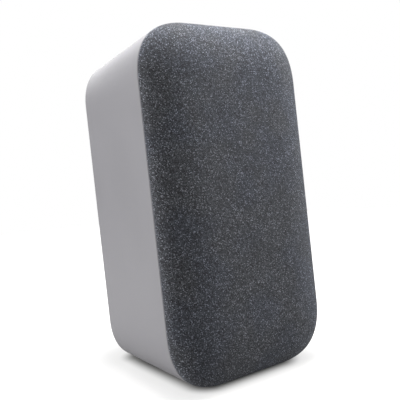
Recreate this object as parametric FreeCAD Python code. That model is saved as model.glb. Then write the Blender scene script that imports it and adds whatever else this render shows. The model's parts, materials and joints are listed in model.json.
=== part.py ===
import FreeCAD, Part
import math
import os
from FreeCAD import Vector

# A large smart speaker that stands on its narrow side, on a magnetic silicone pad.
# Millimetres. Every piece is built in the speaker's own frame: X to the right seen from
# the front, Y from the fabric front to the back, Z up along the speaker, with Z = 0 where the
# underside meets the fabric. stand() then sets the whole speaker on its pad.

# The enclosure
HEIGHT = 336.6
WIDTH = 186.5
DEPTH = 154.4
CORNER_RUN = 55.1       # how far an outline corner reaches along the two sides it joins
CORNER_HANDLE = 0.667   # fullness of the corner curve, 0.55 would be a circle
EDGE_INSET = 50.6       # rounded edge of the fabric front, across the face
EDGE_DEPTH = 20.2       # the same edge, front to back
TAPER = 0.07            # each side draws in this much per mm behind the fabric
REAR_RADIUS = 11.5
RIM_CHAMFER = 0.8
WALL = 3.5
CURVE_STEPS = 7

# The front: fabric over a perforated grille, then the baffle that carries the drivers
FABRIC = 1.0
GRILLE_FACE = 1.05      # depth of the grille's outer face under the fabric's outer face
GRILLE_BACK = 3.5
GRILLE_HOLE = 4.2       # radius
GRILLE_PITCH = 12.5
PEG_RADIUS = 2.5
BAFFLE_SETBACK = 26.2   # from the fabric's front plane to the baffle's face
BAFFLE = 5.0
BAFFLE_INSET = 4.4
GASKET = 1.0
LEDGE = 4.0
LEDGE_INSET = 12.5
SCREW_INSET = 8.2
SCREW_RADIUS = 1.5
SCREW_HEAD = 2.8

# Drivers, on the long centre line
WOOFER_OFFSET = 99.0
WOOFER_FLANGE = 60.0    # radii from here on
WOOFER_CUTOUT = 52.3
WOOFER_FLANGE_THICK = 3.0
CONE_EDGE = 39.0
POLE = 11.0
COIL_INNER = 11.45
COIL_OUTER = 12.45
GAP_OUTER = 12.9
MAGNET = 42.0
MAGNET_DEPTHS = (42.0, 62.0)    # behind the baffle's face
MOTOR_PLATE = 38.0
MOTOR_BACK = 69.0
WOOFER_SCREW_CIRCLE = 57.2
TWEETER_OFFSET = 21.0
TWEETER_FLANGE = 17.0
TWEETER_CUTOUT = 12.6
TWEETER_DOME = 9.2

# Rear openings and controls
PORT_X = -50.0
PORT_HALF_HEIGHT = 36.0
PORT_HALF_WIDTH = 15.0
PORT_CORNER = 8.0
PANEL = 2.5
PANEL_LAP = 4.0
INLET_Z = -14.0         # heights from the middle of the speaker
INLET_HALF = (10.5, 7.0, 5.0)   # half width, half height, corner radius
USB_Z = 7.0
USB_HALF = (5.6, 2.6, 2.5)
JACK_Z = 25.0
JACK_BODY = 4.0         # radius
JACK_BORE = 1.8
JACK_LENGTH = 14.0
RESET_Z = -29.5
RESET_RADIUS = 2.6
SWITCH_X = 50.0
SWITCH_Z = 60.0
SWITCH_TRAVEL = 3.0
RESET_TRAVEL = 0.8
PLAY = 0.3

# Leads from the amplifier to the drivers
LEAD_RADIUS = 1.1
LEAD_RISE = 46.5        # above or below the middle of the speaker
LEAD_X = {"upper": (-18.0, -26.0), "lower": (-22.0, -30.0)}

# Touch strip and microphones in the right-hand side, from the seam and from the middle
STRIP_FRONT = 30.0
STRIP_WIDTH = 4.4
STRIP_HALF_LENGTH = 62.0
STRIP_SEAT = 1.2
MICROPHONE_Y = 39.0
MICROPHONE_Z = (-60.0, -20.0, 20.0, 60.0)

# Boards
BOARD = 1.6
BOARD_FACE = 52.0       # Y of the boards' front faces
STANDOFF = 3.4

# Pad under the speaker
PAD = 3.0
PAD_WIDTH = 112.0
PAD_DEPTH = 108.0
PAD_SETBACK = 9.0       # from the fabric seam
PAD_CORNER = 14.0
PAD_LIP = 1.1           # how far its edge rises to follow the rounded underside
PAD_GAP = 0.2
PLATE = 0.8

FRONT = -DEPTH / 2
SEAM = FRONT + EDGE_DEPTH
REAR = DEPTH / 2
CENTRE = HEIGHT / 2
LEAN = math.degrees(math.atan(TAPER))
BAFFLE_FACE = FRONT + BAFFLE_SETBACK
BAFFLE_BACK = BAFFLE_FACE + BAFFLE
LEDGE_FACE = BAFFLE_BACK + GASKET
LEAD_END = BAFFLE_FACE + 16.0
REAR_INSIDE = REAR - WALL
WOOFERS = {"upper": CENTRE + WOOFER_OFFSET, "lower": CENTRE - WOOFER_OFFSET}
TWEETERS = {"upper": CENTRE + TWEETER_OFFSET, "lower": CENTRE - TWEETER_OFFSET}

nodes = {}


# ---------------------------------------------------------------- shapes

def box(x, y, z):
    """Block between the pairs of limits x, y and z."""
    return Part.makeBox(x[1] - x[0], y[1] - y[0], z[1] - z[0], Vector(x[0], y[0], z[0]))


def rod(x, z, radius, front, back):
    """Cylinder along Y."""
    return Part.makeCylinder(radius, back - front, Vector(x, front, z), Vector(0, 1, 0))


def tube(x, z, outer, inner, front, back):
    return rod(x, z, outer, front, back).cut(rod(x, z, inner, front, back))


def rounded_block(x, y, z, radius):
    """Block whose four edges along Y are rounded."""
    block = box(x, y, z)
    long_edges = [e for e in block.Edges if abs(e.Length - (y[1] - y[0])) < 1e-6
                  and abs(e.tangentAt(0).y) > 0.99]
    return block.makeFillet(radius, long_edges)


def turned(profile, x, z):
    """Ring or disc turned about an axis along Y, from (radius, y) points."""
    points = [Vector(radius, y, 0) for radius, y in profile]
    solid = Part.Face(Part.makePolygon(points + points[:1])).revolve(Vector(), Vector(0, 1, 0), 360)
    solid.translate(Vector(x, 0, z))
    return solid


def turned_edges(edges, x, z):
    """The same, from curves drawn in the XY plane."""
    solid = Part.Face(Part.Wire(edges)).revolve(Vector(), Vector(0, 1, 0), 360)
    solid.translate(Vector(x, 0, z))
    return solid


def dome(x, z, radius, rise, wall, rim):
    """Thin spherical dome that bulges forward, with its rim at y = rim."""
    ball = (radius ** 2 + rise ** 2) / (2 * rise)
    middle = rim - rise + ball

    def on_ball(size, turn):
        return Vector(size * math.sin(turn), middle - size * math.cos(turn), 0)

    def rim_turn(size):
        return math.acos((middle - rim) / size)

    outer, inner = ball, ball - wall
    edges = [
        Part.Arc(on_ball(outer, rim_turn(outer)), on_ball(outer, rim_turn(outer) / 2),
                 on_ball(outer, 0)).toShape(),
        Part.LineSegment(on_ball(outer, 0), on_ball(inner, 0)).toShape(),
        Part.Arc(on_ball(inner, 0), on_ball(inner, rim_turn(inner) / 2),
                 on_ball(inner, rim_turn(inner))).toShape(),
        Part.LineSegment(on_ball(inner, rim_turn(inner)), on_ball(outer, rim_turn(outer))).toShape(),
    ]
    return turned_edges(edges, x, z)


def around(shape, count, x, z, start=0.0):
    """Copies of a shape spaced evenly about an axis along Y."""
    copies = []
    for index in range(count):
        copy = shape.copy()
        copy.rotate(Vector(x, 0, z), Vector(0, 1, 0), start + 360.0 * index / count)
        copies.append(copy)
    return copies


def screw(x, z, head_face, radius, head_radius, length):
    """Pan-head screw driven backwards, its head standing on the face y = head_face."""
    head = rod(x, z, head_radius, head_face - 2.0, head_face)
    socket = box((x - 0.4, x + 0.4), (head_face - 2.1, head_face - 1.0), (z - 1.4, z + 1.4))
    cross = box((x - 1.4, x + 1.4), (head_face - 2.1, head_face - 1.0), (z - 0.4, z + 0.4))
    return head.fuse(rod(x, z, radius, head_face, head_face + length)).cut([socket, cross])


# ---------------------------------------------------------------- the enclosure's form

def corner(side_x, side_z, y, half_x, half_z, run):
    """Curve of one outline corner, from the upright side to the level one."""
    pull = run * (1 - CORNER_HANDLE)
    curve = Part.BezierCurve()
    curve.setPoles([
        Vector(side_x * half_x, y, CENTRE + side_z * (half_z - run)),
        Vector(side_x * half_x, y, CENTRE + side_z * (half_z - pull)),
        Vector(side_x * (half_x - pull), y, CENTRE + side_z * half_z),
        Vector(side_x * (half_x - run), y, CENTRE + side_z * half_z),
    ])
    return curve


def outline(y, inset):
    """Closed outline of the speaker at depth y, drawn in by inset all round."""
    half_x, half_z, run = WIDTH / 2 - inset, HEIGHT / 2 - inset, CORNER_RUN - inset
    edges = []
    previous_end = None
    for side_x, side_z, forwards in ((1, 1, True), (-1, 1, False), (-1, -1, True), (1, -1, False)):
        curve = corner(side_x, side_z, y, half_x, half_z, run)
        poles = curve.getPoles()
        if not forwards:
            poles.reverse()
            curve.setPoles(poles)
        if previous_end is not None:
            edges.append(Part.LineSegment(previous_end, poles[0]).toShape())
        edges.append(curve.toShape())
        previous_end = poles[-1]
    first = edges[0].Vertexes[0].Point
    edges.append(Part.LineSegment(previous_end, first).toShape())
    return Part.Wire(edges)


def corner_middle(side_x, side_z, inset):
    """Middle of an outline corner drawn in by inset, as (x, z)."""
    curve = corner(side_x, side_z, 0, WIDTH / 2 - inset, HEIGHT / 2 - inset, CORNER_RUN - inset)
    point = curve.value(0.5)
    return point.x, point.z


def drawn_in(y):
    """How far the tapered sides have drawn in at depth y."""
    return TAPER * (y - SEAM)


def slab(inset, front, back):
    """Flat plate of the speaker's outline."""
    return Part.Face(outline(front, inset)).extrude(Vector(0, back - front, 0))


def front_form(skin):
    """Solid of the rounded front, everything deeper than skin under the fabric's face."""
    wires = []
    for step in range(CURVE_STEPS + 1):
        turn = math.pi / 2 * step / CURVE_STEPS
        inset = skin + (EDGE_INSET - skin) * (1 - math.cos(turn))
        depth = skin + (EDGE_DEPTH - skin) * (1 - math.sin(turn))
        wires.append(outline(FRONT + depth, inset))
    return Part.makeLoft(wires, True, False)


def body_form(skin, front):
    """Solid of the tapered body behind the seam, everything deeper than skin under its surface."""
    radius = REAR_RADIUS - skin
    bend = REAR - REAR_RADIUS
    sides = Part.makeLoft([outline(front, drawn_in(front) + skin),
                           outline(bend, drawn_in(bend) + skin)], True, True)
    wires = []
    for step in range(CURVE_STEPS + 1):
        turn = math.pi / 2 * step / CURVE_STEPS
        y = bend + radius * math.sin(turn)
        wires.append(outline(y, drawn_in(bend) + skin + radius * (1 - math.cos(turn))))
    return sides.fuse(Part.makeLoft(wires, True, False))


def on_right_wall(shape):
    """Move a shape drawn about x = 0 onto the right side's outer face, y from the seam."""
    placed = shape.copy()
    placed.rotate(Vector(), Vector(0, 0, 1), LEAN)
    placed.translate(Vector(WIDTH / 2, SEAM, CENTRE))
    return placed


def on_underside(shape):
    """Move a shape drawn on the level plane z = 0 onto the underside, y from the seam."""
    placed = shape.copy()
    placed.rotate(Vector(), Vector(1, 0, 0), LEAN)
    placed.translate(Vector(0, SEAM, 0))
    return placed


def stand(shape):
    """Set the speaker on its pad: the tapered underside level, so that the front leans back."""
    placed = shape.copy()
    placed.rotate(Vector(0, SEAM, 0), Vector(1, 0, 0), -LEAN)
    placed.translate(Vector(0, -(SEAM + PAD_SETBACK + PAD_DEPTH / 2), PAD))
    return placed


# ---------------------------------------------------------------- places shared by several pieces

def baffle_screw_places():
    side_x = WIDTH / 2 - SCREW_INSET
    end_z = HEIGHT / 2 - SCREW_INSET
    places = [(sx * side_x, CENTRE + sz * 52.0) for sx in (1, -1) for sz in (1, -1)]
    places += [(sx * 24.0, CENTRE + sz * end_z) for sx in (1, -1) for sz in (1, -1)]
    places += [corner_middle(sx, sz, SCREW_INSET) for sx in (1, -1) for sz in (1, -1)]
    return places


def peg_places():
    return [(sx * 79.0, CENTRE + sz * up) for sx in (1, -1) for sz in (1, -1) for up in (22.0, 96.0)]


def woofer_screw_places(centre_z):
    turns = [math.radians(30 + 60 * index) for index in range(6)]
    return [(WOOFER_SCREW_CIRCLE * math.sin(t), centre_z + WOOFER_SCREW_CIRCLE * math.cos(t))
            for t in turns]


BOARDS = {
    "main_board": ((2.0, 70.0), (CENTRE - 46.0, CENTRE + 46.0)),
    "amplifier_board": ((-72.0, -4.0), (CENTRE + 40.0, CENTRE + 124.0)),
    "power_board": ((-72.0, 4.0), (CENTRE - 132.0, CENTRE - 56.0)),
}


def board_corners(name):
    (left, right), (bottom, top) = BOARDS[name]
    margin = 5.0
    return [(x, z) for x in (left + margin, right - margin) for z in (bottom + margin, top - margin)]


# ---------------------------------------------------------------- enclosure and front

def make_housing():
    rim = Part.makeLoft([outline(SEAM, RIM_CHAMFER),
                         outline(SEAM + RIM_CHAMFER, drawn_in(SEAM + RIM_CHAMFER))], True, True)
    shell = rim.fuse(body_form(0.0, SEAM + RIM_CHAMFER)).cut(body_form(WALL, SEAM - 1.0))
    wall_inside = drawn_in(LEDGE_FACE) + WALL - 1.5
    ledge = slab(wall_inside, LEDGE_FACE, LEDGE_FACE + LEDGE)
    ledge = ledge.cut(slab(LEDGE_INSET, LEDGE_FACE - 1, LEDGE_FACE + LEDGE + 1))
    bosses = [rod(x, z, 4.4, LEDGE_FACE, LEDGE_FACE + 14.0) for x, z in baffle_screw_places()]
    pilots = [rod(x, z, SCREW_RADIUS, LEDGE_FACE - 1, LEDGE_FACE + 12.0)
              for x, z in baffle_screw_places()]
    posts = []
    for name in BOARDS:
        corners = board_corners(name)
        posts += [rod(x, z, STANDOFF, BOARD_FACE + BOARD, REAR_INSIDE + 1) for x, z in corners]
        pilots += [rod(x, z, SCREW_RADIUS, BOARD_FACE, BOARD_FACE + 8.0) for x, z in corners]
    port = rounded_block((PORT_X - PORT_HALF_WIDTH, PORT_X + PORT_HALF_WIDTH),
                         (REAR_INSIDE - 1, REAR + 1),
                         (CENTRE - PORT_HALF_HEIGHT, CENTRE + PORT_HALF_HEIGHT), PORT_CORNER)
    slot = rounded_block((SWITCH_X - 3.0, SWITCH_X + 3.0), (REAR_INSIDE - 1, REAR + 1),
                         (CENTRE + SWITCH_Z - 6.0, CENTRE + SWITCH_Z + 6.0), 1.2)
    strip_seat = on_right_wall(box((-STRIP_SEAT, 1.0), (STRIP_FRONT, STRIP_FRONT + STRIP_WIDTH),
                                   (-STRIP_HALF_LENGTH, STRIP_HALF_LENGTH)))
    listening_holes = [
        on_right_wall(Part.makeCylinder(0.7, WALL + 3.0, Vector(-WALL - 1.5, MICROPHONE_Y, up),
                                        Vector(1, 0, 0))) for up in MICROPHONE_Z]
    housing = shell.fuse([ledge] + bosses + posts)
    return housing.cut(pilots + [port, slot, strip_seat] + listening_holes)


def make_grille_frame():
    shell = front_form(GRILLE_FACE).cut(front_form(GRILLE_BACK))
    pegs = [rod(x, z, PEG_RADIUS, FRONT, BAFFLE_BACK).common(front_form(GRILLE_FACE + 0.6))
            .fuse(rod(x, z, PEG_RADIUS, SEAM, BAFFLE_BACK)) for x, z in peg_places()]
    flat_x = WIDTH / 2 - EDGE_INSET - GRILLE_HOLE
    flat_z = HEIGHT / 2 - EDGE_INSET - GRILLE_HOLE
    rows = int(flat_z // (GRILLE_PITCH * 0.866))
    holes = []
    for row in range(-rows, rows + 1):
        shift = GRILLE_PITCH / 2 if row % 2 else 0.0
        columns = int((flat_x + shift) // GRILLE_PITCH)
        for column in range(-columns, columns + 1):
            x = column * GRILLE_PITCH + shift
            if abs(x) <= flat_x:
                holes.append(rod(x, CENTRE + row * GRILLE_PITCH * 0.866, GRILLE_HOLE,
                                 FRONT - 1, FRONT + GRILLE_BACK + 1))
    return shell.fuse(pegs).cut(holes)


def make_front():
    nodes["grille_fabric"] = front_form(0.0).cut(front_form(FABRIC))
    nodes["grille_frame"] = make_grille_frame()
    holes = [rod(0, z, WOOFER_CUTOUT, BAFFLE_FACE - 1, BAFFLE_BACK + 1) for z in WOOFERS.values()]
    holes += [rod(0, z, TWEETER_CUTOUT, BAFFLE_FACE - 1, BAFFLE_BACK + 1) for z in TWEETERS.values()]
    holes += [rod(x, z, PEG_RADIUS, BAFFLE_FACE - 1, BAFFLE_BACK + 1) for x, z in peg_places()]
    fixings = [place for z in WOOFERS.values() for place in woofer_screw_places(z)]
    fixings += baffle_screw_places()
    holes += [rod(x, z, SCREW_RADIUS, BAFFLE_FACE - 1, BAFFLE_BACK + 1) for x, z in fixings]
    holes += [rod(x, z, 0.9, BAFFLE_FACE - 1, BAFFLE_BACK + 1) for x, z in tweeter_screw_places()]
    nodes["front_baffle"] = slab(BAFFLE_INSET, BAFFLE_FACE, BAFFLE_BACK).cut(holes)
    gasket = slab(BAFFLE_INSET, BAFFLE_BACK, LEDGE_FACE)
    gasket = gasket.cut(slab(LEDGE_INSET, BAFFLE_BACK - 1, LEDGE_FACE + 1))
    nodes["baffle_gasket"] = gasket.cut([rod(x, z, SCREW_RADIUS, BAFFLE_BACK - 1, LEDGE_FACE + 1)
                                         for x, z in baffle_screw_places()])
    nodes["baffle_screws"] = Part.makeCompound([
        screw(x, z, BAFFLE_FACE, SCREW_RADIUS, SCREW_HEAD, 15.0)
        for x, z in baffle_screw_places()])


# ---------------------------------------------------------------- drivers

def make_surround(z, rim):
    """Rubber half roll between the cone's edge and the basket's rim."""
    inner, outer, skin = CONE_EDGE - 1.0, WOOFER_CUTOUT - 0.3, 0.8
    middle = (inner + outer) / 2
    roll = (outer - inner) / 2
    foot = math.sqrt(roll ** 2 - skin ** 2)

    def at(radius, forward):
        return Vector(radius, rim - forward, 0)

    edges = [
        Part.LineSegment(at(inner - 1.6, 0), at(inner + skin, 0)).toShape(),
        Part.Arc(at(inner + skin, 0), at(middle, roll - skin), at(outer - skin, 0)).toShape(),
        Part.LineSegment(at(outer - skin, 0), at(outer + 2.0, 0)).toShape(),
        Part.LineSegment(at(outer + 2.0, 0), at(outer + 2.0, skin)).toShape(),
        Part.LineSegment(at(outer + 2.0, skin), at(middle + foot, skin)).toShape(),
        Part.Arc(at(middle + foot, skin), at(middle, roll), at(middle - foot, skin)).toShape(),
        Part.LineSegment(at(middle - foot, skin), at(inner - 1.6, skin)).toShape(),
        Part.LineSegment(at(inner - 1.6, skin), at(inner - 1.6, 0)).toShape(),
    ]
    return turned_edges(edges, 0, z)


def make_spider(z, plane):
    """Corrugated disc that centres the voice coil."""
    inner, outer, waves, swing, cloth = COIL_OUTER, 40.0, 10, 1.1, 0.5
    ripple = []
    for index in range(waves + 1):
        side = swing if index % 2 else -swing
        ripple.append((inner + (outer - inner) * index / waves, plane + side))
    ripple.append((47.0, plane + swing))
    back = [(radius, y + cloth) for radius, y in reversed(ripple)]
    return turned(ripple + back, 0, z)


def make_woofer(place, z):
    """Cone driver; t counts backwards from the baffle's face."""
    def depth(t):
        return BAFFLE_FACE + t

    rim = depth(-WOOFER_FLANGE_THICK)
    shelf = depth(19.0)
    prefix = "woofer_" + place + "_"
    frame = turned([
        (WOOFER_FLANGE, rim), (WOOFER_FLANGE, depth(0)), (51.6, depth(0)), (49.6, depth(21)),
        (42.5, depth(21)), (41.0, depth(30)), (33.0, depth(36)), (17.0, depth(36)), (17.0, depth(34)),
        (32.0, depth(34)), (39.2, depth(29)), (40.6, shelf), (47.8, shelf), (49.8, rim)], 0, z)
    windows = around(box((-11, 11), (depth(22.5), depth(32.0)), (z + 25.0, z + 60.0)), 6, 0, z)
    fixings = [rod(x, up, SCREW_RADIUS, rim - 1, depth(1)) for x, up in woofer_screw_places(z)]
    nodes[prefix + "basket"] = frame.cut(windows + fixings)
    nodes[prefix + "surround"] = make_surround(z, rim)
    nodes[prefix + "spider"] = make_spider(z, shelf - 1.6)
    nodes[prefix + "cone"] = turned([
        (CONE_EDGE, rim), (CONE_EDGE, rim + 1.0), (13.8, depth(15.4)), (COIL_OUTER, depth(15.4)),
        (COIL_OUTER, depth(13.4)), (13.2, depth(13.4)), (36.4, rim)], 0, z)
    nodes[prefix + "dust_cap"] = dome(0, z, 18.0, 6.0, 0.7, depth(9.9))
    nodes[prefix + "voice_coil"] = tube(0, z, COIL_OUTER, COIL_INNER, depth(13.4), depth(45.0))
    magnet_front, magnet_back = depth(MAGNET_DEPTHS[0]), depth(MAGNET_DEPTHS[1])
    nodes[prefix + "top_plate"] = tube(0, z, MOTOR_PLATE, GAP_OUTER, depth(36), magnet_front)
    nodes[prefix + "magnet"] = tube(0, z, MAGNET, 18.0, magnet_front, magnet_back)
    yoke = rod(0, z, MOTOR_PLATE, magnet_back, depth(MOTOR_BACK))
    yoke = yoke.fuse(rod(0, z, POLE, depth(36), magnet_back))
    nodes[prefix + "yoke"] = yoke.cut(rod(0, z, 3.0, depth(35), depth(MOTOR_BACK + 1)))


def tweeter_screw_places():
    return [(side * 15.0, z) for z in TWEETERS.values() for side in (1, -1)]


def make_tweeter(place, z):
    def depth(t):
        return BAFFLE_FACE + t

    prefix = "tweeter_" + place + "_"
    plate = turned([
        (TWEETER_FLANGE, depth(-2.5)), (TWEETER_FLANGE, depth(0)), (12.4, depth(0)), (12.4, depth(3)),
        (10.0, depth(3)), (10.0, depth(0.5)), (13.0, depth(-2.5))], 0, z)
    nodes[prefix + "faceplate"] = plate.cut([rod(side * 15.0, z, 0.9, depth(-3), depth(1))
                                             for side in (1, -1)])
    former = tube(0, z, TWEETER_DOME, TWEETER_DOME - 0.5, depth(2.0), depth(7.5))
    nodes[prefix + "dome"] = dome(0, z, TWEETER_DOME, 3.0, 0.5, depth(2.0)).fuse(former)
    nodes[prefix + "motor_cup"] = turned([
        (12.2, depth(3)), (12.2, depth(13)), (0, depth(13)), (0, depth(11)), (9.7, depth(11)),
        (9.7, depth(3))], 0, z)
    nodes[prefix + "magnet"] = rod(0, z, 8.2, depth(4.5), depth(11))


def make_drivers():
    for place, z in WOOFERS.items():
        make_woofer(place, z)
    for place, z in TWEETERS.items():
        make_tweeter(place, z)
    rim = BAFFLE_FACE - WOOFER_FLANGE_THICK
    nodes["woofer_screws"] = Part.makeCompound([
        screw(x, up, rim, SCREW_RADIUS, 2.4, 7.5)
        for z in WOOFERS.values() for x, up in woofer_screw_places(z)])
    nodes["tweeter_screws"] = Part.makeCompound([
        rod(x, z, 1.8, BAFFLE_FACE - 3.6, BAFFLE_FACE - 2.5).fuse(
            rod(x, z, 0.9, BAFFLE_FACE - 2.5, BAFFLE_FACE + 4.0)) for x, z in tweeter_screw_places()])
    make_terminals()


def make_terminals():
    """Connector tabs on the baskets, two to a driver, on the side that faces the tweeters."""
    tabs = []
    for place, z in WOOFERS.items():
        side = -1 if place == "upper" else 1
        near, far = sorted((z + side * 40.0, z + side * 56.0))
        inside_basket = rod(0, z, 51.7, LEAD_END - 8.0, LEAD_END + 1.0)
        for x in LEAD_X[place]:
            tab = box((x - 1.5, x + 1.5), (LEAD_END - 6.0, LEAD_END), (near, far))
            tabs.append(tab.cut(inside_basket))
    nodes["woofer_terminals"] = Part.makeCompound(tabs)


# ---------------------------------------------------------------- leads from the amplifier

def lead(points):
    """Round lead along straight runs joined by tangent arcs."""
    edges = []
    start = points[0]
    for before, at, after in zip(points, points[1:], points[2:]):
        back, on = before - at, after - at
        trim = 0.45 * min(back.Length, on.Length)
        back.normalize()
        on.normalize()
        half = back.getAngle(on) / 2
        radius = trim * math.tan(half)
        towards = (back + on).normalize()
        enter, leave = at + back * trim, at + on * trim
        middle = at + towards * (radius / math.sin(half) - radius)
        edges += [Part.LineSegment(start, enter).toShape(), Part.Arc(enter, middle, leave).toShape()]
        start = leave
    edges.append(Part.LineSegment(start, points[-1]).toShape())
    section = Part.Wire(Part.makeCircle(LEAD_RADIUS, points[0], points[1] - points[0]))
    return Part.Wire(edges).makePipeShell([section], True, False)


def make_leads():
    """Pairs from the amplifier board: straight to the upper driver, curving down to the lower."""
    board_z = CENTRE + LEAD_RISE
    leads = [lead([Vector(x, BOARD_FACE, board_z), Vector(x, LEAD_END, board_z)])
             for x in LEAD_X["upper"]]
    for x in LEAD_X["lower"]:
        leads.append(lead([Vector(x, BOARD_FACE, board_z), Vector(x, BOARD_FACE - 32.0, board_z),
                           Vector(x, BOARD_FACE - 50.0, CENTRE - LEAD_RISE),
                           Vector(x, LEAD_END, CENTRE - LEAD_RISE)]))
    nodes["speaker_leads"] = Part.makeCompound(leads)


# ---------------------------------------------------------------- boards and what they carry

def make_boards():
    for name, (across, up) in BOARDS.items():
        board = box(across, (BOARD_FACE, BOARD_FACE + BOARD), up)
        nodes[name] = board.cut([rod(x, z, SCREW_RADIUS, BOARD_FACE - 1, BOARD_FACE + BOARD + 1)
                                 for x, z in board_corners(name)])
    nodes["board_screws"] = Part.makeCompound([
        screw(x, z, BOARD_FACE, SCREW_RADIUS, SCREW_HEAD, 8.0)
        for name in BOARDS for x, z in board_corners(name)])

    (left, right), (bottom, top) = BOARDS["main_board"]
    middle_x, middle_z = (left + right) / 2, (bottom + top) / 2
    can = box((middle_x - 21, middle_x + 21), (BOARD_FACE - 4.0, BOARD_FACE), (middle_z - 27, middle_z + 27))
    hollow = box((middle_x - 20.6, middle_x + 20.6), (BOARD_FACE - 3.6, BOARD_FACE + 1),
                 (middle_z - 26.6, middle_z + 26.6))
    nodes["processor_shield"] = can.cut(hollow)

    (left, right), (bottom, top) = BOARDS["amplifier_board"]
    foot = BOARD_FACE - 3.0
    fins = [box((left + 12.0, right - 12.0), (foot - 14.0, foot), (z - 0.75, z + 0.75))
            for z in [bottom + 30.0 + 6.0 * index for index in range(9)]]
    base = box((left + 12.0, right - 12.0), (foot, BOARD_FACE), (bottom + 29.0, bottom + 79.0))
    nodes["heat_sink"] = base.fuse(fins)

    (left, right), (bottom, top) = BOARDS["power_board"]
    core = box((left + 12.0, left + 40.0), (BOARD_FACE - 26.0, BOARD_FACE),
               (bottom + 14.0, bottom + 40.0))
    winding = box((left + 9.0, left + 43.0), (BOARD_FACE - 21.0, BOARD_FACE - 5.0),
                  (bottom + 19.0, bottom + 35.0))
    nodes["power_transformer"] = core.fuse(winding)
    nodes["power_capacitors"] = Part.makeCompound([
        rod(left + 56.0, bottom + 16.0 + 20.0 * index, 8.0, BOARD_FACE - 24.0, BOARD_FACE)
        for index in range(3)])


# ---------------------------------------------------------------- rear panel, sockets and controls

def socket_body(z, half_size, front, back):
    """Outer form of an oblong socket in the panel's column."""
    half_x, half_z, radius = half_size
    return rounded_block((PORT_X - half_x, PORT_X + half_x), (front, back),
                         (z - half_z, z + half_z), radius)


def make_rear():
    """Socket panel behind the opening in the rear wall, with its sockets and the reset button."""
    panel_back = REAR_INSIDE
    panel_front = panel_back - PANEL
    half_width = PORT_HALF_WIDTH + PANEL_LAP
    half_height = PORT_HALF_HEIGHT + PANEL_LAP
    plate = rounded_block((PORT_X - half_width, PORT_X + half_width), (panel_front, panel_back),
                          (CENTRE - half_height, CENTRE + half_height), 6.0)
    inlet_z, usb_z, jack_z = CENTRE + INLET_Z, CENTRE + USB_Z, CENTRE + JACK_Z
    reset_z = CENTRE + RESET_Z

    inlet_body = socket_body(inlet_z, INLET_HALF, panel_back - 24.0, panel_back)
    inlet_mouth = rounded_block((PORT_X - 8.3, PORT_X + 8.3), (panel_back - 14.0, panel_back + 1),
                                (inlet_z - 4.3, inlet_z + 4.3), 4.2)
    pins = [rod(PORT_X + side * 4.3, inlet_z, 1.2, panel_back - 16.0, panel_back - 2.0) for side in (1, -1)]
    nodes["ac_inlet"] = Part.makeCompound([inlet_body.cut([inlet_mouth] + pins)] + pins)

    usb_body = socket_body(usb_z, USB_HALF, panel_back - 9.0, panel_back)
    usb_mouth = rounded_block((PORT_X - 4.5, PORT_X + 4.5), (panel_back - 7.0, panel_back + 1),
                              (usb_z - 1.6, usb_z + 1.6), 1.55)
    tongue = box((PORT_X - 3.3, PORT_X + 3.3), (panel_back - 8.0, panel_back - 1.0),
                 (usb_z - 0.35, usb_z + 0.35))
    nodes["usb_socket"] = usb_body.cut(usb_mouth).fuse(tongue)

    jack_body = rod(PORT_X, jack_z, JACK_BODY, panel_back - 16.0, panel_back)
    nodes["audio_jack"] = jack_body.cut(
        rod(PORT_X, jack_z, JACK_BORE, panel_back - JACK_LENGTH, panel_back + 1))

    nodes["port_panel"] = plate.cut([
        socket_body(inlet_z, INLET_HALF, panel_front - 1, panel_back + 1),
        socket_body(usb_z, USB_HALF, panel_front - 1, panel_back + 1),
        rod(PORT_X, jack_z, JACK_BODY, panel_front - 1, panel_back + 1),
        rod(PORT_X, reset_z, RESET_RADIUS + PLAY, panel_front - 1, panel_back + 1)])

    cap = rod(PORT_X, reset_z, RESET_RADIUS, panel_front - PLAY, panel_back + 0.6)
    collar = rod(PORT_X, reset_z, RESET_RADIUS + 1.6, panel_front - PLAY - 1.0, panel_front - PLAY)
    nodes["reset_button"] = cap.fuse(collar)
    switch_face = panel_front - PLAY - 1.0 - RESET_TRAVEL - PLAY
    reset_switch = box((PORT_X - 3.0, PORT_X + 3.0), (switch_face - 3.5, switch_face),
                       (reset_z - 3.0, reset_z + 3.0))

    low = CENTRE + SWITCH_Z - SWITCH_TRAVEL / 2
    knob = rounded_block((SWITCH_X - 2.7, SWITCH_X + 2.7), (REAR_INSIDE - PLAY, REAR - 0.6),
                         (low - 4.2, low + 4.2), 1.0)
    ridges = [box((SWITCH_X - 2.3, SWITCH_X + 2.3), (REAR - 0.6, REAR - 0.1),
                  (low + up - 0.35, low + up + 0.35)) for up in (-2.4, -1.2, 0.0, 1.2, 2.4)]
    shoe = box((SWITCH_X - 5.0, SWITCH_X + 5.0), (REAR_INSIDE - PLAY - 1.2, REAR_INSIDE - PLAY),
               (low - 8.5, low + 8.5))
    nodes["mic_mute_slider"] = knob.fuse([shoe] + ridges)
    body_face = REAR_INSIDE - 2 * PLAY - 1.2
    slide_switch = box((SWITCH_X - 4.0, SWITCH_X + 4.0), (body_face - 5.0, body_face),
                       (CENTRE + SWITCH_Z - 9.0, CENTRE + SWITCH_Z + 9.0))
    nodes["switch_bodies"] = Part.makeCompound([reset_switch, slide_switch])


# ---------------------------------------------------------------- touch strip, lights, radio

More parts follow.
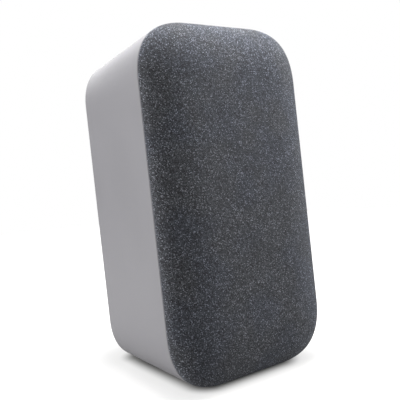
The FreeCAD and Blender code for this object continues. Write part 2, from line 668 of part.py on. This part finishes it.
def make_interface():
    strip = box((-STRIP_SEAT, -0.2), (STRIP_FRONT, STRIP_FRONT + STRIP_WIDTH),
                (-STRIP_HALF_LENGTH, STRIP_HALF_LENGTH))
    nodes["touch_strip"] = on_right_wall(strip)
    board = box((-WALL - 1.6, -WALL - 0.4), (28.0, 43.0), (-74.0, 74.0))
    nodes["touch_board"] = on_right_wall(board)
    nodes["microphones"] = Part.makeCompound([
        on_right_wall(box((-WALL - 2.6, -WALL - 1.6), (MICROPHONE_Y - 1.8, MICROPHONE_Y + 1.8),
                          (up - 1.5, up + 1.5))) for up in MICROPHONE_Z])
    nodes["led_board"] = box((-23.0, 23.0), (BAFFLE_FACE - 1.2, BAFFLE_FACE), (CENTRE - 3.4, CENTRE + 3.4))
    nodes["led_light_pipes"] = Part.makeCompound([
        rod(x, CENTRE, 1.6, FRONT + GRILLE_BACK + PLAY, BAFFLE_FACE - 1.2) for x in (-18.0, -6.0, 6.0, 18.0)])
    nodes["antennas"] = Part.makeCompound([
        box((x, x + 9.0), (REAR_INSIDE - 0.8, REAR_INSIDE), (CENTRE + 92.0, CENTRE + 128.0))
        for x in (22.0, 46.0)])
    nodes["base_magnets"] = Part.makeCompound([
        on_underside(Part.makeCylinder(8.0, 3.0, Vector(x, y, WALL)))
        for x in (-22.0, 22.0) for y in (36.0, 90.0)])


# ---------------------------------------------------------------- pad

def make_pad():
    """Silicone pad, level on the table, its upper face shaped to the underside."""
    half_x, half_y = PAD_WIDTH / 2, PAD_DEPTH / 2
    blank = box((-half_x, half_x), (-half_y, half_y), (0, PAD + PAD_LIP))
    blank = blank.makeFillet(PAD_CORNER, [e for e in blank.Edges if abs(e.tangentAt(0).z) > 0.99])
    plate_x, plate_y = (-34.0, 34.0), (-40.0, 40.0)
    recess = box(plate_x, plate_y, (PAD - PAD_GAP - PLATE, PAD + PAD_LIP + 1))
    pad = blank.cut([stand(body_form(-PAD_GAP, SEAM)), recess])
    pad = pad.makeChamfer(0.6, [e for e in pad.Edges if e.BoundBox.ZMax < 0.01])
    plate = box(plate_x, plate_y, (PAD - PAD_GAP - PLATE, PAD - PAD_GAP))
    return {"base_pad": pad, "base_pad_plate": plate}


def main():
    nodes["housing"] = make_housing()
    make_front()
    make_drivers()
    make_leads()
    make_boards()
    make_rear()
    make_interface()
    pieces = {name: stand(shape) for name, shape in nodes.items()}
    pieces.update(make_pad())
    os.makedirs("parts", exist_ok=True)
    for name, shape in pieces.items():
        shape.exportStep("parts/" + name + ".step")
        print(name, len(shape.Solids), round(shape.Volume / 1000, 2), "cm3",
              "valid" if shape.isValid() else "BAD")


main()
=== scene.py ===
import json
import math

import bmesh
import bpy
import numpy as np
from mathutils import Matrix, Vector


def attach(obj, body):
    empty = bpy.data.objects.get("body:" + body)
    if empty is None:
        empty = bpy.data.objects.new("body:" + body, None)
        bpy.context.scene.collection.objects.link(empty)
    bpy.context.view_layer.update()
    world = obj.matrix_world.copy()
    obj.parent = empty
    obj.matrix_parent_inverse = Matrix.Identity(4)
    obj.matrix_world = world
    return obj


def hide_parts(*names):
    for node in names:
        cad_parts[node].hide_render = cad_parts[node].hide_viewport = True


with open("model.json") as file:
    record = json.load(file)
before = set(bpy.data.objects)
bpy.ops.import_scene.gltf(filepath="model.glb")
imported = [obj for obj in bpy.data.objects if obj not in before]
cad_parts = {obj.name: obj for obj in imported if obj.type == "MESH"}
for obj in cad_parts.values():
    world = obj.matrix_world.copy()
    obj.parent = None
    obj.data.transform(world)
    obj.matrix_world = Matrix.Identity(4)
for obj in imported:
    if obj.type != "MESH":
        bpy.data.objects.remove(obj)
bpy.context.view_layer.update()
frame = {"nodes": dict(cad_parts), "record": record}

# The speaker's own frame, in metres: X to the right seen from the front, Y from the fabric
# front to the back, Z up along the speaker. The speaker leans back on its tapered underside.
WIDTH = 0.1865
HEIGHT = 0.3366
DEPTH = 0.1544
CORNER_RUN = 0.0551     # how far a corner of the outline reaches along its two sides
CORNER_HANDLE = 0.667   # length of the corner's Bezier handles, as a share of that run
EDGE_INSET = 0.0506     # width and depth of the rounded edge round the front
EDGE_DEPTH = 0.0202
TAPER = 0.07            # how much each side draws in for each step towards the rear
PAD_THICKNESS = 0.003
PAD_MIDDLE = 0.063      # from the fabric seam back to the middle of the pad, which is the origin
LEAN = math.atan(TAPER)
FRONT = -DEPTH / 2
SEAM = FRONT + EDGE_DEPTH

# The grille cloth. It is made of rings of points, from the fold at the seam to a last outline
# that is a narrow slit along the middle of the front, whose two sides are joined.
CLOTH_THICKNESS = 0.001
RIM_TURN = 0.0009       # radius of the fold where the cloth tucks in at the seam
LEAST_TURN = 0.0001     # radius that is left on the fold's inner face
LEAST_RUN = 0.0015      # corner run that is left on the innermost outlines
SLIT_HALF_WIDTH = 0.0002
JOIN_WITHIN = 0.0005    # wider than the slit; it also thins out points crowded at tight corners
SAME_DEPTH = 1e-6       # metres within which two depths count as one
RIM_STEPS = 5
EDGE_STEPS = 40
FLAT_STEPS = 24
CORNER_STEPS = 36
SIDE_STEPS = 56
END_STEPS = 14

# The camera, at the photograph's angle
PICTURE = 400           # pixels across
SENSOR = 36.0           # mm across
CAMERA_PLACE = (-0.3597, -0.4893, 0.2140)
CAMERA_AZIMUTH = -36.01
CAMERA_ELEVATION = 4.12
CAMERA_ROLL = -3.94
FOCAL_PIXELS = 586.35


# ---------------------------------------------------------------- node helpers

NOISE_RANGE = (0.3, 0.7)        # a noise texture's values lie mostly within this


class Shader:
    """A material being made: its tree, its Principled shader and short ways to add nodes."""

    def __init__(self, name):
        self.material = bpy.data.materials.new(name)
        self.material.use_nodes = True
        self.tree = self.material.node_tree
        self.principled = self.tree.nodes["Principled BSDF"]
        self.place = self.node("ShaderNodeTexCoord").outputs["Object"]

    def put(self, value, socket):
        """A number, a colour, a vector or another node's output, into a socket."""
        if isinstance(value, (int, float)):
            socket.default_value = value
        elif isinstance(value, tuple):
            socket.default_value = (*value, 1.0) if socket.type == "RGBA" else value
        else:
            self.tree.links.new(value, socket)

    def node(self, kind, inputs=(), **settings):
        """A new node, with values for its inputs in their order or by their names."""
        made = self.tree.nodes.new(kind)
        for key, value in settings.items():
            setattr(made, key, value)
        pairs = inputs.items() if isinstance(inputs, dict) else enumerate(inputs)
        for key, value in pairs:
            self.put(value, made.inputs[key])
        return made

    def dress(self, **values):
        """Values for the Principled shader's sockets, as Roughness=0.5, Base_Color=shade."""
        for name, value in values.items():
            self.put(value, self.principled.inputs[name.replace("_", " ")])

    def math(self, operation, *values):
        return self.node("ShaderNodeMath", values, operation=operation).outputs[0]

    def vector(self, operation, *values):
        return self.node("ShaderNodeVectorMath", values, operation=operation).outputs["Vector"]

    def combine(self, *values):
        return self.node("ShaderNodeCombineXYZ", values).outputs["Vector"]

    def noise(self, vector, scale, detail=2.0, roughness=0.5):
        inputs = {"Vector": vector, "Scale": scale, "Detail": detail, "Roughness": roughness}
        return self.node("ShaderNodeTexNoise", inputs).outputs["Fac"]

    def dice(self, *cell):
        """A random number for each cell, which is three whole numbers."""
        inputs = {"Vector": self.combine(*cell)}
        return self.node("ShaderNodeTexWhiteNoise", inputs, noise_dimensions="3D").outputs["Value"]

    def spread(self, value, low, high, low_out, high_out, ends="LINEAR"):
        """value from low..high laid over low_out..high_out, with SMOOTHSTEP ends soft."""
        inputs = {"Value": value, "From Min": low, "From Max": high,
                  "To Min": low_out, "To Max": high_out}
        return self.node("ShaderNodeMapRange", inputs, interpolation_type=ends).outputs["Result"]

    def vary(self, noise, low_out, high_out):
        """A noise laid over low_out..high_out."""
        return self.spread(noise, *NOISE_RANGE, low_out, high_out)

    def mix(self, factor, first, second):
        made = self.node("ShaderNodeMix", [factor], data_type="RGBA")
        colors = [socket for socket in made.inputs if socket.type == "RGBA"]
        for value, socket in zip((first, second), colors):
            self.put(value, socket)
        return next(socket for socket in made.outputs if socket.type == "RGBA")

    def brightness(self, color, amount):
        """color times amount."""
        inputs = {0: color, "Scale": amount}
        return self.node("ShaderNodeVectorMath", inputs, operation="SCALE").outputs["Vector"]

    def bump(self, height, distance, strength):
        inputs = {"Height": height, "Distance": distance, "Strength": strength}
        self.dress(Normal=self.node("ShaderNodeBump", inputs).outputs["Normal"])


# ---------------------------------------------------------------- the fabric's material

STITCH_ACROSS = 0.62    # mm between the weave's diagonal ribs
STITCH_ALONG = 0.85     # mm from stitch to stitch along a rib
STITCH_SHIFT = 0.27     # how far each rib's stitches stand from the last one's, in stitches
YARN_STITCHES = 4       # stitches in a row that share one length of yarn
RIB_WANDER = 0.3        # mm that the ribs stray to each side
FABRIC_GREY = (0.072, 0.075, 0.085)
FABRIC_BLUE = (0.068, 0.073, 0.089)
# Each stitch is the fabric's colour times a shade, which starts from a random draw of 0 to 1
DARKEST_STITCH = 0.30
STITCH_RANGE = 1.1      # from the lowest draw to the highest
FLECK = 3.6             # what the highest draws add, for the few pale flecks
FLECK_RARITY = 14.0     # power that a fleck's draw is raised to
GAP_PAINTED_SHADE = 0.35        # painted shade in the gap between stitches
CROWN_PAINTED_LIGHT = 0.75      # painted light added on the crown of a stitch


def weave_grid(shader):
    """Coordinates that count the ribs across the weave and the stitches along each rib."""
    uv = shader.node("ShaderNodeUVMap", uv_map="weave").outputs["UV"]
    flat = shader.node("ShaderNodeSeparateXYZ", [uv]).outputs
    wander = shader.noise(shader.place, 70.0)
    wander = shader.math("MULTIPLY_ADD", wander, 2 * RIB_WANDER, -RIB_WANDER)
    u = shader.math("ADD", flat["X"], wander)
    v = shader.math("SUBTRACT", flat["Y"], wander)
    diagonal = math.sqrt(0.5)
    across = shader.math("MULTIPLY", shader.math("ADD", u, v), diagonal / STITCH_ACROSS)
    along = shader.math("MULTIPLY", shader.math("SUBTRACT", u, v), diagonal / STITCH_ALONG)
    rib = shader.math("FLOOR", across)
    return across, shader.math("MULTIPLY_ADD", rib, STITCH_SHIFT, along)


def bulge(shader, coordinate, power):
    """1 in the middle of each stitch, 0 at its edges."""
    within = shader.math("FRACT", coordinate)
    offset = shader.math("ABSOLUTE", shader.math("MULTIPLY_ADD", within, 2.0, -1.0))
    return shader.math("SUBTRACT", 1.0, shader.math("POWER", offset, power))


def fabric_material():
    """Charcoal twill: rounded stitches in diagonal ribs, each with its own shade of yarn."""
    shader = Shader("fabric_twill")
    across, along = weave_grid(shader)
    rib = shader.math("FLOOR", across)
    stitch = shader.dice(rib, shader.math("FLOOR", along), 0.0)
    length = shader.math("FLOOR", shader.math("MULTIPLY", along, 1 / YARN_STITCHES))
    yarn = shader.dice(rib, length, 7.0)
    height = shader.math("MULTIPLY", bulge(shader, across, 2.0), bulge(shader, along, 4.0))
    fibre = shader.combine(shader.math("MULTIPLY", across, 4.0),
                           shader.math("MULTIPLY", along, 0.7))
    strands = shader.noise(fibre, 1.0, 3.0, 0.7)
    cloud = shader.noise(shader.place, 60.0, 3.0, 0.6)

    shade = shader.math("MULTIPLY_ADD", stitch, STITCH_RANGE, DARKEST_STITCH)
    fleck = shader.math("POWER", stitch, FLECK_RARITY)
    shade = shader.math("MULTIPLY_ADD", fleck, FLECK, shade)
    # The stitch height paints shade: darker in the gaps between stitches, lighter on their crowns
    for factor in (shader.math("MULTIPLY_ADD", yarn, 0.24, 0.88),
                   shader.spread(strands, 0.25, 0.75, 0.75, 1.25),
                   shader.math("MULTIPLY_ADD", height, CROWN_PAINTED_LIGHT, GAP_PAINTED_SHADE),
                   shader.vary(cloud, 0.90, 1.10)):
        shade = shader.math("MULTIPLY", shade, factor)
    patch = shader.spread(shader.noise(shader.place, 24.0, 1.0), 0.42, 0.62, 0.0, 1.0)
    tint = shader.mix(patch, FABRIC_GREY, FABRIC_BLUE)
    shader.dress(Base_Color=shader.brightness(tint, shade), Roughness=0.92, Sheen_Weight=0.10,
                 Sheen_Roughness=0.45, Sheen_Tint=(0.80, 0.86, 1.0), Specular_IOR_Level=0.25)
    shader.bump(shader.math("MULTIPLY_ADD", strands, 0.35, height), 0.00022, 0.7)
    return shader.material


# ---------------------------------------------------------------- the other materials

def plastic(name, color, roughness, grain=0.00003, grain_scale=2600.0, cloudiness=0.03):
    """Moulded plastic with a spark-eroded grain and a slight unevenness of colour and gloss."""
    shader = Shader(name)
    pits = shader.noise(shader.place, grain_scale, 2.0, 0.6)
    cloud = shader.noise(shader.place, 14.0, 3.0, 0.6)
    shade = shader.math("MULTIPLY", shader.vary(cloud, 1.0 - cloudiness, 1.0 + cloudiness),
                        shader.vary(pits, 0.985, 1.015))
    shader.dress(Base_Color=shader.brightness(color, shade),
                 Roughness=shader.vary(cloud, roughness - 0.03, roughness + 0.03))
    shader.bump(pits, grain, 0.5)
    return shader.material


def rubber(name, color, roughness):
    """Soft matt rubber, foam or silicone, faintly dusty."""
    shader = Shader(name)
    dust = shader.spread(shader.noise(shader.place, 90.0, 4.0, 0.7), 0.35, 0.75, 0.85, 1.5)
    shader.dress(Base_Color=shader.brightness(color, dust), Roughness=roughness,
                 Specular_IOR_Level=0.3)
    shader.bump(shader.noise(shader.place, 1500.0), 0.00004, 0.5)
    return shader.material


def metal(name, color, roughness, grain_along=(1.0, 1.0, 30.0)):
    """Worked metal with fine tool marks."""
    shader = Shader(name)
    marks = shader.vector("MULTIPLY", shader.place, grain_along)
    marks = shader.noise(marks, 60.0, 4.0, 0.7)
    shader.dress(Base_Color=shader.brightness(color, shader.vary(marks, 0.88, 1.1)),
                 Roughness=shader.vary(marks, roughness - 0.08, roughness + 0.08), Metallic=1.0)
    shader.bump(marks, 0.00002, 0.5)
    return shader.material


def cloth(name, color, scale):
    """Small woven parts inside the drivers."""
    shader = Shader(name)
    inputs = {"Vector": shader.place, "Scale": scale, "Distortion": 1.5}
    threads = shader.node("ShaderNodeTexWave", inputs, wave_type="RINGS", rings_direction="Y")
    fuzz = shader.noise(shader.place, scale * 3.0, 3.0)
    height = shader.math("MULTIPLY", threads.outputs["Fac"], fuzz)
    # Painted shade: darker where the threads lie low, lighter where they stand up
    shade = shader.spread(height, 0.1, 0.6, 0.75, 1.25)
    shader.dress(Base_Color=shader.brightness(color, shade), Roughness=0.85, Sheen_Weight=0.1)
    shader.bump(height, 0.0001, 0.6)
    return shader.material


def circuit_board_material():
    """Green solder mask over copper tracks."""
    shader = Shader("circuit_board")
    tracks = shader.node("ShaderNodeTexBrick", {
        "Vector": shader.place, "Scale": 220.0, "Mortar Size": 0.03,
        "Color1": (0.010, 0.075, 0.030), "Color2": (0.012, 0.085, 0.036),
        "Mortar": (0.030, 0.150, 0.060)})
    shader.dress(Base_Color=tracks.outputs["Color"], Roughness=0.35)
    shader.bump(tracks.outputs["Fac"], 0.00004, 0.4)
    return shader.material


def light_pipe_material():
    """Clear plastic with a faint haze."""
    shader = Shader("light_pipe")
    haze = shader.vary(shader.noise(shader.place, 300.0), 0.95, 1.0)
    shader.dress(Base_Color=shader.brightness((0.92, 0.94, 0.96), haze), Roughness=0.12,
                 Transmission_Weight=0.8, IOR=1.49)
    return shader.material


def slot_materials():
    """One material for each of the record's slots."""
    return {
        "housing": plastic("housing_satin", (0.175, 0.172, 0.184), 0.46,
                           grain=0.00004, cloudiness=0.015),
        "port_plastic": plastic("port_plastic", (0.10, 0.10, 0.105), 0.6),
        "grille_fabric": fabric_material(),
        "silicone": rubber("silicone", (0.020, 0.020, 0.022), 0.8),
        "plate_steel": metal("plate_steel", (0.55, 0.55, 0.56), 0.45),
        "touch_plastic": plastic("touch_plastic", (0.19, 0.19, 0.20), 0.30, grain=0.00001),
        "switch_plastic": plastic("switch_plastic", (0.15, 0.15, 0.155), 0.42),
        "socket_black": plastic("socket_black", (0.014, 0.014, 0.015), 0.38),
        "socket_steel": metal("socket_steel", (0.60, 0.60, 0.61), 0.28),
        "inner_plastic": plastic("inner_plastic", (0.020, 0.020, 0.021), 0.55),
        "gasket_foam": rubber("gasket_foam", (0.022, 0.022, 0.022), 0.95),
        "tinned_steel": metal("tinned_steel", (0.68, 0.68, 0.67), 0.32),
        "heat_sink": metal("heat_sink", (0.62, 0.63, 0.64), 0.42, grain_along=(30.0, 1.0, 1.0)),
        "transformer": plastic("transformer", (0.055, 0.050, 0.045), 0.5, cloudiness=0.12),
        "capacitor": metal("capacitor", (0.10, 0.11, 0.16), 0.35),
        "lead_sleeve": rubber("lead_sleeve", (0.28, 0.015, 0.012), 0.45),
        "light_pipe": light_pipe_material(),
        "antenna_film": plastic("antenna_film", (0.30, 0.14, 0.03), 0.3),
        "neodymium": metal("neodymium", (0.62, 0.62, 0.60), 0.25),
        "brass_tab": metal("brass_tab", (0.75, 0.58, 0.26), 0.3),
        "screw_steel": metal("screw_steel", (0.10, 0.10, 0.11), 0.35),
        "circuit_board": circuit_board_material(),
        "basket_steel": plastic("basket_steel", (0.022, 0.022, 0.024), 0.5,
                                grain=0.00005, grain_scale=900.0),
        "surround_rubber": rubber("surround_rubber", (0.014, 0.014, 0.014), 0.6),
        "spider_cloth": cloth("spider_cloth", (0.42, 0.29, 0.10), 160.0),
        "cone_paper": plastic("cone_paper", (0.030, 0.030, 0.032), 0.5,
                              grain=0.00008, grain_scale=500.0),
        "coil_copper": metal("coil_copper", (0.70, 0.33, 0.16), 0.3, grain_along=(1.0, 40.0, 1.0)),
        "motor_steel": metal("motor_steel", (0.46, 0.46, 0.47), 0.4),
        "ferrite": plastic("ferrite", (0.045, 0.045, 0.048), 0.6, cloudiness=0.1),
        "dome_silk": cloth("dome_silk", (0.022, 0.022, 0.022), 700.0),
    }


def dress_cad_nodes(materials):
    """Each CAD node in the material of its own slot."""
    slots = {row["node"]: row["material_slot"] for row in frame["record"]["subparts"]}
    for name, obj in frame["nodes"].items():
        obj.data.materials.clear()
        obj.data.materials.append(materials[slots[name]])


# ---------------------------------------------------------------- the fabric front

def stand(points):
    """From the speaker's own frame to the row frame, in which its underside is level."""
    turned = points - np.array([0.0, SEAM, 0.0])
    cos, sin = math.cos(LEAN), math.sin(LEAN)
    y = turned[:, 1] * cos + turned[:, 2] * sin
    z = -turned[:, 1] * sin + turned[:, 2] * cos
    return np.column_stack([turned[:, 0], y - PAD_MIDDLE, z + PAD_THICKNESS])


def corner_points(half_x, half_z, run):
    """One corner of the outline, a Bezier curve from the upright side to the level end."""
    along = np.linspace(0.0, 1.0, CORNER_STEPS + 1)[:, None]
    left = 1 - along
    pull = run * (1 - CORNER_HANDLE)
    poles = np.array([[half_x, half_z - run], [half_x, half_z - pull],
                      [half_x - pull, half_z], [half_x - run, half_z]])
    return (left ** 3 * poles[0] + 3 * along * left ** 2 * poles[1]
            + 3 * along ** 2 * left * poles[2] + along ** 3 * poles[3])


def outline(inset):
    """Points round the speaker's outline, drawn in by inset, from the middle of the right side."""
    half_x = WIDTH / 2 - inset
    half_z = HEIGHT / 2 - inset
    run = min(max(CORNER_RUN - inset, LEAST_RUN), half_x)
    corner = corner_points(half_x, half_z, run)
    side_z = np.linspace(0, half_z - run, SIDE_STEPS, False)
    end_x = np.linspace(half_x - run, 0, END_STEPS + 1)[1:]
    side = np.column_stack([np.full(SIDE_STEPS, half_x), side_z])
    end = np.column_stack([end_x, np.full(END_STEPS, half_z)])
    quarter = np.vstack([side, corner, end])
    left = quarter[::-1][1:] * (-1, 1)
    upper = np.vstack([quarter, left])
    lower = upper[::-1][1:-1] * (1, -1)
    return np.vstack([upper, lower])


def profile(skin):
    """(inset, depth) from the tucked rim to the middle of the front, skin under the cloth's face."""
    radius = max(RIM_TURN - skin, LEAST_TURN)
    rows = []
    for step in range(RIM_STEPS):
        turn = math.pi / 2 * step / RIM_STEPS
        inset = skin + radius * (1 - math.sin(turn))
        rows.append((inset, EDGE_DEPTH - radius * (1 - math.cos(turn))))
    for step in range(EDGE_STEPS + 1):
        turn = math.pi / 2 * (step / EDGE_STEPS)
        depth = skin + (EDGE_DEPTH - skin) * (1 - math.sin(turn))
        if depth < EDGE_DEPTH - radius - SAME_DEPTH:
            rows.append((skin + (EDGE_INSET - skin) * (1 - math.cos(turn)), depth))
    flat = WIDTH / 2 - EDGE_INSET - SLIT_HALF_WIDTH
    for step in range(1, FLAT_STEPS + 1):
        rows.append((EDGE_INSET + flat * (step / FLAT_STEPS), skin))
    return rows


def cloth_face(skin):
    """Rings of points from the rim inwards, and how far the cloth has run up to each ring."""
    rings = []
    runs = [0.0]
    rows = profile(skin)
    for inset, depth in rows:
        ring = outline(inset)
        y = np.full(len(ring), FRONT + depth)
        rings.append(np.column_stack([ring[:, 0], y, ring[:, 1] + HEIGHT / 2]))
    for (inset, depth), (next_inset, next_depth) in zip(rows, rows[1:]):
        runs.append(runs[-1] + math.hypot(next_inset - inset, next_depth - depth))
    return rings, runs


def weave_places(rings, runs):
    """Where each point of the cloth lay before it was stretched over the edge, in millimetres."""
    front = rings[-1][0][1]
    flat_from = next(i for i, ring in enumerate(rings) if abs(ring[0][1] - front) < SAME_DEPTH)
    places = []
    for index, ring in enumerate(rings):
        spots = ring[:, [0, 2]]
        if index < flat_from:
            base = rings[flat_from][:, [0, 2]]
            outward = spots - base
            reach = np.linalg.norm(outward, axis=1)[:, None]
            over_edge = runs[flat_from] - runs[index]
            spots = base + outward / reach * (reach / reach.max() * over_edge)
        places += (spots * 1000).tolist()
    return places


def cloth_faces(size, outer_rings, inner_rings):
    """Quads over the outer face, over the inner face and round the rim."""
    faces = []

    def band(first, second):
        for index in range(size):
            after = (index + 1) % size
            faces.append((first + index, first + after, second + after, second + index))

    for ring in range(outer_rings - 1):
        band((ring + 1) * size, ring * size)
    inner_start = outer_rings * size
    for ring in range(inner_rings - 1):
        band(inner_start + ring * size, inner_start + (ring + 1) * size)
    band(0, inner_start)
    return faces


def close_slit(mesh):
    """Join points that are close together, and so the slit's two long sides."""
    bm = bmesh.new()
    bm.from_mesh(mesh)
    bmesh.ops.remove_doubles(bm, verts=bm.verts, dist=JOIN_WITHIN)
    bmesh.ops.recalc_face_normals(bm, faces=bm.faces)
    bm.to_mesh(mesh)
    bm.free()


def make_grille_cloth():
    """The stretched grille cloth, 1 mm thick, closed behind its rim."""
    outer, runs = cloth_face(0.0)
    inner, _ = cloth_face(CLOTH_THICKNESS)
    points = stand(np.vstack(outer + inner))
    faces = cloth_faces(len(outer[0]), len(outer), len(inner))
    mesh = bpy.data.meshes.new("grille_cloth")
    mesh.from_pydata(points.tolist(), [], faces)
    weave = mesh.uv_layers.new(name="weave")
    # The inner face is out of sight, so the runs of the outer face do for both
    flat = weave_places(outer, runs) + weave_places(inner, runs)
    for loop in mesh.loops:
        weave.data[loop.index].uv = flat[loop.vertex_index]
    close_slit(mesh)
    for polygon in mesh.polygons:
        polygon.use_smooth = True
    piece = bpy.data.objects.new("grille_cloth", mesh)
    bpy.context.scene.collection.objects.link(piece)
    return piece


def dress_front(materials):
    piece = make_grille_cloth()
    piece.data.materials.append(materials["grille_fabric"])
    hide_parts("grille_fabric")
    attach(piece, "cabinet")


# ---------------------------------------------------------------- studio

AIM = Vector((0.0, 0.0, 0.17))      # the middle of the speaker
LIGHTS = (
    # name, azimuth, elevation, distance, width and height, watts
    ("left_box", -105.0, 4.0, 1.3, 0.7, 27.8),
    ("right_box", 66.0, 5.0, 1.3, 0.7, 14.3),
    ("right_spot", 60.0, 50.0, 0.65, 0.35, 3.0),
    ("top_box", 0.0, 84.0, 0.5, 0.25, 4.6),
    ("right_top", 90.0, 70.0, 0.5, 0.25, 1.1),
    ("back_box", 180.0, 30.0, 1.4, 0.8, 5.3),
)
FLOOR_RADIUS = 1.5
FLOOR_SIDES = 96
FLOOR_WHITE = (1.0, 0.99, 0.965)
FLOOR_SEEN = 0.22       # how much of the studio light the floor shows
FLOOR_BOUNCE = 0.45     # and how much of it goes back to the speaker
# What the camera sees of the floor also glows white, but not in a painted contact shadow round
# the speaker's foot. The painted shadow is a rounded rectangle: its middle, its half size less
# the corner, and the corner. Each step of the glow starts and ends at a distance outside it and
# adds its share.
SHADOW_MIDDLE = (0.0, 0.012, 0.0)
SHADOW_HALF = (0.041, 0.055, 10.0)
SHADOW_CORNER = 0.012
GLOW = ((0.001, 0.021, 0.72), (0.015, 0.090, 0.42))


def direction(azimuth, elevation):
    """Unit vector away from the speaker, in degrees, 0 in front and positive to the right."""
    turn, rise = math.radians(azimuth), math.radians(elevation)
    level = math.cos(rise)
    return Vector((math.sin(turn) * level, -math.cos(turn) * level, math.sin(rise)))


def make_soft_box(name, azimuth, elevation, distance, size, power):
    """Square light that faces the middle of the speaker."""
    away = direction(azimuth, elevation)
    lamp = bpy.data.lights.new(name, "AREA")
    lamp.size = size
    lamp.energy = power
    obj = bpy.data.objects.new(name, lamp)
    bpy.context.scene.collection.objects.link(obj)
    obj.location = AIM + away * distance
    obj.rotation_mode = "QUATERNION"
    obj.rotation_quaternion = away.to_track_quat("Z", "Y")
    obj.visible_camera = False


def make_world():
    """White to the camera, and no light by itself."""
    world = bpy.data.worlds.new("studio")
    bpy.context.scene.world = world
    world.use_nodes = True
    nodes, links = world.node_tree.nodes, world.node_tree.links
    background = nodes["Background"]
    background.inputs["Color"].default_value = (1.0, 1.0, 1.0, 1.0)
    path = nodes.new("ShaderNodeLightPath")
    links.new(path.outputs["Is Camera Ray"], background.inputs["Strength"])


def floor_material():
    """White paper that runs into the white background, and a painted contact shadow."""
    shader = Shader("floor_white")
    seen = shader.node("ShaderNodeLightPath").outputs["Is Camera Ray"]
    cloud = shader.vary(shader.noise(shader.place, 3.0), 0.99, 1.0)
    white = shader.spread(seen, 0.0, 1.0, FLOOR_BOUNCE, FLOOR_SEEN)
    white = shader.math("MULTIPLY", white, cloud)

    # Painted contact shadow: the glow fades out towards a rounded rectangle round the speaker's foot
    offset = shader.vector("ABSOLUTE", shader.vector("SUBTRACT", shader.place, SHADOW_MIDDLE))
    outside = shader.vector("SUBTRACT", offset, SHADOW_HALF)
    outside = shader.vector("MAXIMUM", outside, (0.0, 0.0, 0.0))
    length = shader.node("ShaderNodeVectorMath", [outside], operation="LENGTH").outputs["Value"]
    distance = shader.math("SUBTRACT", length, SHADOW_CORNER)
    glow = shader.math("ADD", *[shader.spread(distance, start, end, 0.0, share, "SMOOTHSTEP")
                                for start, end, share in GLOW])
    shader.dress(Base_Color=shader.brightness(FLOOR_WHITE, white), Roughness=0.7,
                 Specular_IOR_Level=0.2, Emission_Color=(1.0, 1.0, 1.0),
                 Emission_Strength=shader.math("MULTIPLY", seen, glow))
    return shader.material


def make_floor():
    """Round floor, wide enough for its edge to stay in the white."""
    turns = [2 * math.pi * step / FLOOR_SIDES for step in range(FLOOR_SIDES)]
    rim = [(FLOOR_RADIUS * math.cos(turn), FLOOR_RADIUS * math.sin(turn), 0) for turn in turns]
    mesh = bpy.data.meshes.new("floor")
    mesh.from_pydata(rim, [], [tuple(range(FLOOR_SIDES))])
    mesh.materials.append(floor_material())
    floor = bpy.data.objects.new("floor", mesh)
    bpy.context.scene.collection.objects.link(floor)


def make_camera():
    back = direction(CAMERA_AZIMUTH, CAMERA_ELEVATION)
    turn = math.radians(CAMERA_AZIMUTH)
    right = Vector((math.cos(turn), math.sin(turn), 0.0))
    level = Matrix((right, back.cross(right), back)).transposed()
    rolled = level @ Matrix.Rotation(math.radians(CAMERA_ROLL), 3, "Z")
    data = bpy.data.cameras.new("camera")
    data.sensor_width = SENSOR
    data.lens = FOCAL_PIXELS / PICTURE * SENSOR
    camera = bpy.data.objects.new("camera", data)
    bpy.context.scene.collection.objects.link(camera)
    camera.location = CAMERA_PLACE
    camera.rotation_mode = "QUATERNION"
    camera.rotation_quaternion = rolled.to_quaternion()
    bpy.context.scene.camera = camera


def main():
    make_camera()
    materials = slot_materials()
    dress_cad_nodes(materials)
    dress_front(materials)
    make_floor()
    make_world()
    for light in LIGHTS:
        make_soft_box(*light)
    bpy.context.scene.view_settings.view_transform = "Standard"


main()
